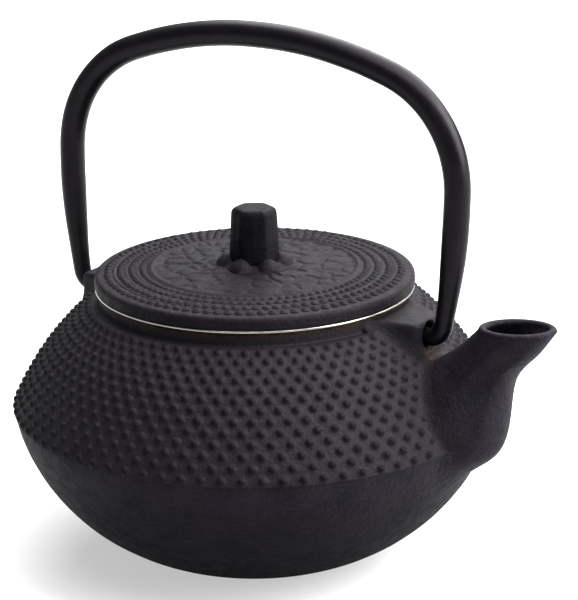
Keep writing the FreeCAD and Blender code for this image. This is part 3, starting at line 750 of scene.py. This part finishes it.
def cavity_solid():
    """The hollow of the pot, open at the mouth."""
    return turned("cavity", outline([
        (0, WALL),
        (BASE_RADIUS - 2.45, WALL, 1.5),
        (WAIST_RADIUS + 0.33 - WALL, WAIST_HEIGHT, 1.5, BOWL_ARC - WALL),
        (MOUTH_RADIUS, SHOULDER_TOP + 4.2 - WALL, 0.8, SHOULDER_ARC - WALL),
        (MOUTH_RADIUS, COLLAR_TOP - 0.6, 0.3),
        (MOUTH_RADIUS + 0.6, COLLAR_TOP + 0.1),
        (MOUTH_RADIUS + 0.6, COLLAR_TOP + 2),
        (0, COLLAR_TOP + 2),
    ], step=2.4), columns=120)


def nub_points(centre, normal, scale, shape, segments):
    """Rings of one nub: shape lists (radius, height) from its foot to its tip."""
    side = unit(np.cross([0, 0, 1] if abs(normal[Z]) < 0.9 else [1, 0, 0], normal))
    up = np.cross(normal, side)
    angles = full_turn(segments)
    rings = [
        centre + scale * (radius * (np.outer(np.cos(angles), side) + np.outer(np.sin(angles), up))
                          + height * normal)
        for radius, height in shape
    ]
    return np.concatenate(rings)


def nubs_solid(name, places, shape, segments):
    """All nubs in one mesh; places lists each nub's (centre, normal, scale)."""
    points, faces = [], []
    per_nub = len(shape) * segments
    one = ring_faces(len(shape), segments, caps=True)
    for index, (centre, normal, scale) in enumerate(places):
        points.append(nub_points(centre, normal, scale, shape, segments))
        faces += [tuple(corner + index * per_nub for corner in face) for face in one]
    return make_piece(name, np.concatenate(points), faces)


def hobnail_places(obstacles):
    """Staggered rows down the shoulder, smaller at its top and beside the spout and the lugs."""
    slope = arc_points((WAIST_RADIUS, BORDER_HEIGHT), (SHOULDER_TOP_RADIUS, SHOULDER_TOP),
                       SHOULDER_ARC, 0.1)[::-1]
    spacing = np.linspace(FIRST_ROW_SPACING, LAST_ROW_SPACING, HOBNAIL_ROWS - 1)
    down = FIRST_ROW_DROP + np.concatenate([[0], np.cumsum(spacing)])
    rows = points_along(slope, down)
    falls = points_along(slope, down + 0.1) - rows
    places = []
    for row, ((radius, height), fall) in enumerate(zip(rows, falls)):
        level, rise = np.array([-fall[1], fall[0]]) / math.hypot(*fall)
        grow = 0.82 + 0.18 * smooth_step(0, 6, row)
        for step in range(HOBNAILS_AROUND):
            angle = (step + row % 2 / 2) * math.tau / HOBNAILS_AROUND
            flat = np.array([math.cos(angle), math.sin(angle), 0])
            centre = radius * flat + (0, 0, height)
            gap = obstacles.find(centre)[2]
            if gap < HOBNAIL_CLEARANCE:
                continue
            near = 0.65 + 0.35 * smooth_step(HOBNAIL_CLEARANCE, HOBNAIL_FULL_CLEARANCE, gap)
            scale = grow * near * (0.94 + 0.12 * noise.random())
            places.append((centre, level * flat + (0, 0, rise), scale))
    return places


def obstacle_tree(things):
    """A lookup of the points of some solids that stand clearly outside the turned body."""
    points = np.concatenate([
        np.array([vertex.co for vertex in thing.data.vertices]) / MM for thing in things
    ])
    points = points[body_distance(points) > 0.6]
    tree = KDTree(len(points))
    for index, point in enumerate(points):
        tree.insert(point, index)
    tree.balance()
    return tree


def cast_unevenness(points):
    """Slight swells on the outside of the casting, none at its foot and its collar."""
    height = points[:, Z]
    mask = smooth_step(1.5, 6, height) * (1 - smooth_step(SHOULDER_TOP - 3, SHOULDER_TOP, height))
    out = points * (1, 1, 0)
    out /= np.maximum(np.linalg.norm(out, axis=1), 1e-6)[:, None]
    swell = unevenness(points, size=11, height=0.10) + unevenness(points + 40, size=4, height=0.05)
    return points + out * (mask * swell)[:, None]


def build_pot():
    """The casting: turned body, spout, lugs and hobnails, hollowed out."""
    pot = turned("pot_casting", pot_profile(), columns=224, relief=cast_unevenness)
    growths = [spout_solid(), lug_solid(1), lug_solid(-1)]
    places = hobnail_places(obstacle_tree(growths))
    for growth in growths:
        combine(pot, growth, "UNION")
    combine(pot, nubs_solid("hobnails", places, HOBNAIL, segments=9), "UNION")
    for cutter in (cavity_solid(), bore_solid(), lug_hole(1), lug_hole(-1)):
        combine(pot, cutter, "DIFFERENCE")
    iron = iron_material("pot_cast_iron", POT_IRON, sheen=0.07, nub_shade_and_ochre=True)
    finish_piece(pot, "pot", "cast_iron_pot", iron, "pot_body")


# ---- handle ----

def circle_meeting(first, first_reach, second, second_reach):
    """The right-hand, upper meeting point of two circles given by centre and radius."""
    between = second - first
    distance = np.hypot(*between)
    along = (first_reach**2 - second_reach**2 + distance**2) / (2 * distance)
    off = math.sqrt(first_reach**2 - along**2)
    direction = between / distance
    return first + direction * along + np.array([direction[1], -direction[0]]) * off


def toward(start, end, distance):
    """The point at a distance from start in the direction of end."""
    return start + (end - start) / np.hypot(*(end - start)) * distance


def bail_line():
    """Half of the bail's centre line in (x, height), from the pin's end to the top."""
    arch_centre = np.array([0, BAIL_TOP - BAIL_ARCH_RADIUS])
    leg_centre = np.array([BAIL_LEG_X - BAIL_LEG_RADIUS, BAIL_LEG_HEIGHT])
    corner_centre = circle_meeting(arch_centre, BAIL_ARCH_RADIUS - BAIL_CORNER_RADIUS,
                                   leg_centre, BAIL_LEG_RADIUS - BAIL_CORNER_RADIUS)
    hook_height = BAIL_PIVOT_HEIGHT + BAIL_HOOK_RADIUS
    drop = leg_centre[1] - hook_height
    hook_reach = BAIL_LEG_RADIUS - BAIL_HOOK_RADIUS
    hook_centre = np.array([leg_centre[0] + math.sqrt(hook_reach**2 - drop**2), hook_height])
    hook_start = (hook_centre[0], BAIL_PIVOT_HEIGHT)
    leg_start = toward(leg_centre, hook_centre, BAIL_LEG_RADIUS)
    corner_start = toward(leg_centre, corner_centre, BAIL_LEG_RADIUS)
    arch_start = toward(arch_centre, corner_centre, BAIL_ARCH_RADIUS)
    strokes = [
        line_points((BAIL_PIN_END_X, BAIL_PIVOT_HEIGHT), hook_start, 0.8),
        arc_points(hook_start, leg_start, BAIL_HOOK_RADIUS, 0.4),
        arc_points(leg_start, corner_start, BAIL_LEG_RADIUS, 1.0),
        arc_points(corner_start, arch_start, BAIL_CORNER_RADIUS, 1.0),
        arc_points(arch_start, (0, BAIL_TOP), BAIL_ARCH_RADIUS, 1.0),
    ]
    return np.concatenate([strokes[0]] + [stroke[1:] for stroke in strokes[1:]])


def tube_points(path, radii, sides):
    """Rings of points round a path that bends in one plane, the XZ plane."""
    ahead = unit(np.gradient(path, axis=0))
    across = np.array([0.0, 1.0, 0.0])
    out = np.cross(ahead, across)
    angles = full_turn(sides)
    return (path[:, None] + radii[:, None, None] * (np.cos(angles)[None, :, None] * out[:, None]
            + np.sin(angles)[None, :, None] * across))


def build_handle():
    """The bail: a round rod, thinner towards its pins, with rounded pin ends."""
    half = bail_line()
    both = np.concatenate([half, (half * (-1, 1))[-2::-1]])
    path = np.column_stack([both[:, 0], 0 * both[:, 0], both[:, 1]])
    share = smooth_step(BAIL_PIVOT_HEIGHT + 1, BAIL_TAPER_HEIGHT, path[:, Z])
    radii = BAIL_PIN_RADIUS + (BAIL_ROD_RADIUS - BAIL_PIN_RADIUS) * share
    distance, narrower = np.array(BAIL_PIN_CAP).T
    past = distance[:, None] * (1, 0, 0)
    path = np.concatenate([path[:1] - past, path, path[-1:] + past[::-1]])
    radii = np.concatenate([radii[0] * narrower, radii, radii[-1] * narrower[::-1]])
    sides = 28
    rings = tube_points(path, radii, sides)
    centres = path[:, None]
    swell = 1 + unevenness(rings, size=9, height=0.02)
    rings = centres + (rings - centres) * swell[..., None]
    lean = Matrix.Rotation(math.radians(-BAIL_LEAN), 3, "X")
    pivot = (0, 0, BAIL_PIVOT_HEIGHT)
    points = (rings.reshape(-1, 3) - pivot) @ np.array(lean).T + pivot
    bail = make_piece("bail_rod", points, ring_faces(len(rings), sides, caps=True))
    finish_piece(bail, "bail", "coated_steel_handle", lacquer_material(), "handle")


# ---- lid ----

def lid_relief(points):
    """Ridges, a border and a crackled field raised on the lid's top."""
    radius = np.hypot(points[:, X], points[:, Y])
    on_top = (points[:, Z] > LID_EDGE - 0.3) & (radius < LID_RADIUS - 1)
    rise = np.zeros(len(points))
    for ridge in LID_RIDGES:
        rise += LID_RIDGE_HEIGHT * np.exp(-((radius - ridge) / LID_RIDGE_BREADTH)**2)
    rise += LID_BORDER_HEIGHT * np.exp(-((radius - LID_BORDER_RADIUS) / LID_BORDER_BREADTH)**2)
    field = 1 - smooth_step(LID_BORDER_RADIUS - 1.6, LID_BORDER_RADIUS - 0.6, radius)
    field *= smooth_step(SEAT_RADIUS + 1.5, SEAT_RADIUS + 4, radius)
    for index in np.flatnonzero(on_top & (field > 0)):
        rise[index] += field[index] * crackle(points[index])
    points[:, Z] += np.where(on_top, rise, 0)
    return points


def crackle(point):
    """Height of a hammered field at a point: soft cells parted by shallow creases."""
    spot = Vector(point)
    spot += Vector((noise.noise(spot / 3), noise.noise(spot / 3 + Vector((9, 0, 0))), 0)) * 1.2
    spot.z = 0
    near = noise.voronoi(spot / 5.0)[0]
    crease = smooth_step(0, 0.25, near[1] - near[0])
    return 0.36 * crease - 0.24 - 0.14 * near[0] + 0.08 * noise.noise(spot / 1.3)


def lid_profile():
    """The lid's closed section, from the tenon hole round the underside and back over the top."""
    return outline([
        (TENON_HOLE_RADIUS, LID_UNDERSIDE),
        (SKIRT_INNER_RADIUS, LID_UNDERSIDE, 0.5),
        (SKIRT_INNER_RADIUS, SKIRT_BOTTOM, 0.35),
        (SKIRT_RADIUS, SKIRT_BOTTOM, 0.35),
        (SKIRT_RADIUS, LID_BOTTOM, 0.3),
        (LID_RADIUS, LID_BOTTOM, 0.55),
        (LID_RADIUS, LID_EDGE, 1.25),
        (LID_RADIUS - 1.6, LID_EDGE + 0.05, 0.2),
        (TENON_HOLE_RADIUS, LID_TOP, 0, LID_CROWN_ARC),
    ], step=0.45)


def lid_nub_places():
    """Rings of small nubs between the ridges, each ring turned by half a step."""
    places = []
    for row, radius in enumerate(LID_NUB_RINGS):
        share = (LID_RADIUS - radius) / (LID_RADIUS - TENON_HOLE_RADIUS)
        height = LID_EDGE + (LID_TOP - LID_EDGE) * (1 - (1 - share)**2)
        for step in range(LID_NUBS_AROUND):
            angle = (step + row % 2 / 2) * math.tau / LID_NUBS_AROUND
            centre = np.array([radius * math.cos(angle), radius * math.sin(angle), height])
            scale = (radius / LID_NUB_RINGS[0])**0.6 * (0.92 + 0.16 * noise.random())
            places.append((centre, np.array([0, 0, 1.0]), scale))
    return places


def build_lid():
    """The lid casting with its relief."""
    lid = turned("lid_casting", lid_profile(), columns=320, loop=True, relief=lid_relief)
    combine(lid, nubs_solid("lid_nubs", lid_nub_places(), LID_NUB, segments=9), "UNION")
    iron = iron_material("lid_cast_iron", LID_IRON, sheen=0.06)
    finish_piece(lid, "lid", "cast_iron_lid", iron, "lid_plate")


def hexagon_rings(levels, columns):
    """Rings of a soft-cornered hexagon; levels lists (half width across flats, height)."""
    angles = full_turn(columns)
    off = (angles + math.pi / 6) % (math.pi / 3) - math.pi / 6
    corner = 1 / np.cos(off)
    widest, sharpness = 1.10, 24
    shape = (corner**-sharpness + widest**-sharpness)**(-1 / sharpness)
    return np.array([
        np.column_stack([flat * shape * np.cos(angles), flat * shape * np.sin(angles),
                         height + 0 * angles]) for flat, height in levels
    ])


def knob_post(grow=0.0):
    """The tapered post of the knob with a bevelled, slightly domed top."""
    columns = 72
    levels = outline([
        (0, KNOB_FOOT - grow),
        (KNOB_FOOT_FLAT + grow, KNOB_FOOT - grow),
        (KNOB_SHOULDER_FLAT + 0.1 + grow, KNOB_SHOULDER - 0.1, 0.7),
        (KNOB_TOP_FLAT + 0.1 + grow, KNOB_TOP - 0.1, 0.6),
        (0, KNOB_TOP),
    ], step=0.5)
    rings = hexagon_rings(levels, columns)
    swell = 1 + unevenness(rings * (0.6, 0.6, 0.1), size=1, height=0.035)
    rings[..., :2] *= swell[..., None]
    return make_piece("hexagonal_knob", rings.reshape(-1, 3), ring_faces(len(rings), columns))


def seat_relief(points):
    """Six petals standing round the knob's foot, with the hollows between them blended."""
    angles = np.arctan2(points[:, Y], points[:, X])
    radius = np.hypot(points[:, X], points[:, Y])
    off = (angles + math.pi) % (math.pi / 3) - math.pi / 6
    along, across = radius * np.cos(off) - PETAL_ORBIT, radius * np.sin(off)
    apart = np.hypot(along, across / 1.08) / PETAL_FLARE
    dome = np.clip(1 - apart**2, 0, 1)**0.75
    disc = 0.9 * (1 - smooth_step(SEAT_RADIUS - 0.6, SEAT_RADIUS + 1.6, radius))
    rise = np.maximum(disc, 0.78 * (PETAL_TOP - LID_TOP) * dome) + 0.35 * disc * dome
    points[:, Z] += np.where(points[:, Z] > LID_TOP - 0.5, rise, 0)
    return points


def build_knob():
    """The flower seat, and the knob with its tenon and peened head."""
    edge = PETAL_ORBIT + PETAL_FLARE
    seat = turned("knob_flower_seat", outline([
        (TENON_HOLE_RADIUS, LID_TOP - 0.6),
        (edge, LID_TOP - 0.6),
        (edge, LID_TOP - 0.12),
        (TENON_HOLE_RADIUS, LID_TOP - 0.05),
    ], step=0.28), columns=180, loop=True, relief=seat_relief)
    combine(seat, knob_post(grow=0.04), "DIFFERENCE")
    knob = knob_post()
    tenon = turned("tenon", outline([
        (0, KNOB_BOTTOM),
        (RIVET_HEAD_RADIUS, KNOB_BOTTOM, 0.6),
        (RIVET_HEAD_RADIUS, RIVET_HEAD_TOP, 0.2),
        (TENON_RADIUS, RIVET_HEAD_TOP),
        (TENON_RADIUS, KNOB_FOOT + 1),
        (0, KNOB_FOOT + 1),
    ], step=0.5), columns=40)
    combine(knob, tenon, "UNION")
    seat_iron = iron_material("seat_cast_iron", SEAT_IRON, sheen=0.06)
    finish_piece(seat, "lid", "cast_iron_lid", seat_iron, "knob_seat")
    knob_iron = iron_material("knob_cast_iron", KNOB_IRON, sheen=0.05)
    finish_piece(knob, "lid", "cast_iron_knob", knob_iron, "lid_knob")


# ---- infuser ----

def build_infuser_rim():
    """The flange with its rolled edge and the sleeve in the pot's neck."""
    rim = turned("infuser_flange", outline([
        (SLEEVE_RADIUS - SHEET_METAL, SLEEVE_BOTTOM, 0.2),
        (SLEEVE_RADIUS, SLEEVE_BOTTOM, 0.2),
        (SLEEVE_RADIUS, FLANGE_BOTTOM, 0.4),
        (FLANGE_RADIUS - 0.55, FLANGE_BOTTOM, 0.12),
        (FLANGE_RADIUS - 0.5, FLANGE_LIP_BOTTOM, 0.15),
        (FLANGE_RADIUS, FLANGE_LIP_BOTTOM, 0.2),
        (FLANGE_RADIUS, FLANGE_TOP, 0.35),
        (SLEEVE_RADIUS - SHEET_METAL, FLANGE_TOP, 0.6),
        (SLEEVE_RADIUS - SHEET_METAL, SLEEVE_BOTTOM + 0.2),
    ], step=0.9), columns=240, loop=True)
    finish_piece(rim, "infuser", "stainless_steel", STEEL, "infuser_rim")


def wires(paths, closed):
    """Three-sided wires along paths of points, all in one list of points and faces."""
    points, faces = [], []
    for path in paths:
        if closed:
            ahead = unit(np.roll(path, -1, axis=0) - np.roll(path, 1, axis=0))
        else:
            ahead = unit(np.gradient(path, axis=0))
        helper = np.where(np.abs(ahead[:, Z:]) > 0.7, (1.0, 0.0, 0.0), (0.0, 0.0, 1.0))
        side = unit(np.cross(ahead, helper))
        up = np.cross(ahead, side)
        start = sum(len(batch) for batch in points)
        rings = np.stack([path + WIRE_RADIUS * (math.cos(angle) * side + math.sin(angle) * up)
                          for angle in np.radians([90, 210, 330])], axis=1)
        points.append(rings.reshape(-1, 3))
        faces += [tuple(corner + start for corner in face)
                  for face in ring_faces(len(path), 3, loop=closed, caps=not closed)]
    return np.concatenate(points), faces


def build_infuser_wall():
    """Woven wire cloth: waved uprights over level rings."""
    low, high = reach("infuser_mesh_wall", 0, Z), reach("infuser_mesh_wall", 1, Z)
    middle = reach("infuser_mesh_wall", 1, X) - 0.2
    count = 2 * round(math.pi * middle / WIRE_PITCH)
    heights = np.arange(low + 0.1, high - 0.1, WIRE_PITCH / 2)
    uprights = []
    for index, angle in enumerate(full_turn(count)):
        wave = 0.1 * np.cos(math.pi * (np.arange(len(heights)) / 2 + index % 2))
        radius = middle + wave
        uprights.append(np.column_stack([radius * math.cos(angle), radius * math.sin(angle), heights]))
    turn = full_turn(180)
    rings = [np.column_stack([middle * np.cos(turn), middle * np.sin(turn), level + 0 * turn])
             for level in np.arange(low + 0.4, high - 0.2, WIRE_PITCH)]
    upright_points, faces = wires(uprights, closed=False)
    level_points, level_faces = wires(rings, closed=True)
    faces += [tuple(corner + len(upright_points) for corner in face) for face in level_faces]
    cloth = make_piece("infuser_mesh", np.concatenate([upright_points, level_points]), faces)
    finish_piece(cloth, "infuser", "stainless_mesh", MESH_STEEL, "infuser_mesh_wall", crease=80)


def build_infuser_bottom():
    """The bottom's woven wire cloth: straight wires one way, waved wires the other."""
    level = (reach("infuser_base_mesh", 0, Z) + reach("infuser_base_mesh", 1, Z)) / 2
    edge = reach("infuser_base_mesh", 1, X) - 0.1
    paths = []
    for index, offset in enumerate(np.arange(-edge + 0.6, edge - 0.4, WIRE_PITCH)):
        half = math.sqrt(edge**2 - offset**2)
        along = np.arange(-half, half, WIRE_PITCH / 2)
        wave = 0.06 * np.cos(math.pi * ((along + half) / WIRE_PITCH + index % 2))
        paths.append(np.column_stack([offset + 0 * along, along, level + wave]))
        paths.append(np.array([(x, offset, level) for x in (-half, 0, half)]))
    points, faces = wires(paths, closed=False)
    cloth = make_piece("infuser_bottom_mesh", points, faces)
    finish_piece(cloth, "infuser", "stainless_mesh", MESH_STEEL, "infuser_base_mesh", crease=80)


# ---- carried-over CAD nodes ----

def dress(node, material):
    """Give a CAD node a material."""
    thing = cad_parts[node]
    thing.data.materials.clear()
    thing.data.materials.append(material)


# ---- studio ----

def build_floor():
    """A wide pale sheet."""
    edge = 4000.0
    corners = [(-edge, -edge, 0), (edge, -edge, 0), (edge, edge, 0), (-edge, edge, 0)]
    floor = make_piece("studio_floor", corners, [(0, 1, 2, 3)])
    floor.data.materials.append(floor_material())
    floor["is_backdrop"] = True


def add_light(name, place, aim, size, power):
    """A rectangular soft light at a place, aimed at a point, in metres and watts."""
    lamp = bpy.data.lights.new(name, "AREA")
    lamp.shape = "RECTANGLE"
    lamp.size, lamp.size_y = size
    lamp.energy = power
    thing = bpy.data.objects.new(name, lamp)
    thing.location = place
    thing.rotation_euler = (Vector(aim) - Vector(place)).to_track_quat("-Z", "Y").to_euler()
    bpy.context.scene.collection.objects.link(thing)


def build_light():
    """A pale room with softboxes: a large one overhead at the back, one at the right, one in front."""
    world = bpy.data.worlds.new("studio_room")
    world.use_nodes = True
    tree = world.node_tree
    set_inputs(tree, tree.nodes["Background"], {"Color": (1, 1, 1, 1), "Strength": 0.33})
    bpy.context.scene.world = world
    add_light("overhead_softbox", (0.2, 0.75, 1.3), (0, 0, 0.05), (2.8, 2.2), 158)
    add_light("right_softbox", (1.1, 0.3, 0.7), (0, 0, 0.06), (0.9, 1.1), 55)
    add_light("front_softbox", (0.22, -0.37, 1.3), (0, 0, 0.06), (0.9, 0.6), 15)


# The camera: angles in degrees, distances in metres, its lens in millimetres.
CAMERA_TARGET = Vector((0, 0, 0.055))
CAMERA_AZIMUTH = 30.54
CAMERA_ELEVATION = 18.0
CAMERA_DISTANCE = 0.56
CAMERA_ROLL = 0.97
CAMERA_LENS = 139.1
# How far its optical axis is turned to the left of the target, and above it.
AIM_LEFT = -0.833
AIM_UP = 0.608


def build_camera():
    """The photograph's viewpoint: an oblique look from the front right, slightly above."""
    azimuth, elevation = math.radians(CAMERA_AZIMUTH), math.radians(CAMERA_ELEVATION)
    back = Vector((math.sin(azimuth) * math.cos(elevation),
                   -math.cos(azimuth) * math.cos(elevation), math.sin(elevation)))
    home = CAMERA_TARGET + back * CAMERA_DISTANCE
    right = (-back).cross(Vector((0, 0, 1))).normalized()
    up = right.cross(-back)
    turn = Matrix.Rotation(math.radians(AIM_LEFT), 3, up)
    turn = turn @ Matrix.Rotation(math.radians(AIM_UP), 3, right)
    right, up, back = turn @ right, turn @ up, turn @ back
    roll = Matrix.Rotation(math.radians(CAMERA_ROLL), 3, -back)
    right, up = roll @ right, roll @ up
    lens = bpy.data.cameras.new("photo_camera")
    lens.lens = CAMERA_LENS
    lens.clip_start = 0.01
    camera = bpy.data.objects.new("photo_camera", lens)
    axes = Matrix((right, up, back)).transposed()
    camera.matrix_world = Matrix.Translation(home) @ axes.to_4x4()
    bpy.context.scene.collection.objects.link(camera)
    bpy.context.scene.camera = camera


# ---- the whole scene ----

noise.seed_set(7)
build_camera()
build_floor()
build_light()
bpy.context.scene.view_settings.view_transform = "Standard"

STEEL = steel_material("brushed_stainless", 0.2, brushed=True)
MESH_STEEL = steel_material("wire_stainless", 0.3, brushed=False)
build_pot()
build_handle()
build_lid()
build_knob()
build_infuser_rim()
build_infuser_wall()
build_infuser_bottom()
dress("enamel_lining", enamel_material())
dress("knob_washer", STEEL)
dress("infuser_base_band", STEEL)

sizes = {"cad": cad_bounds, "visual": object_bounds()}
sizes = {name: [[round(part, 5) for part in corner] for corner in box] for name, box in sizes.items()}
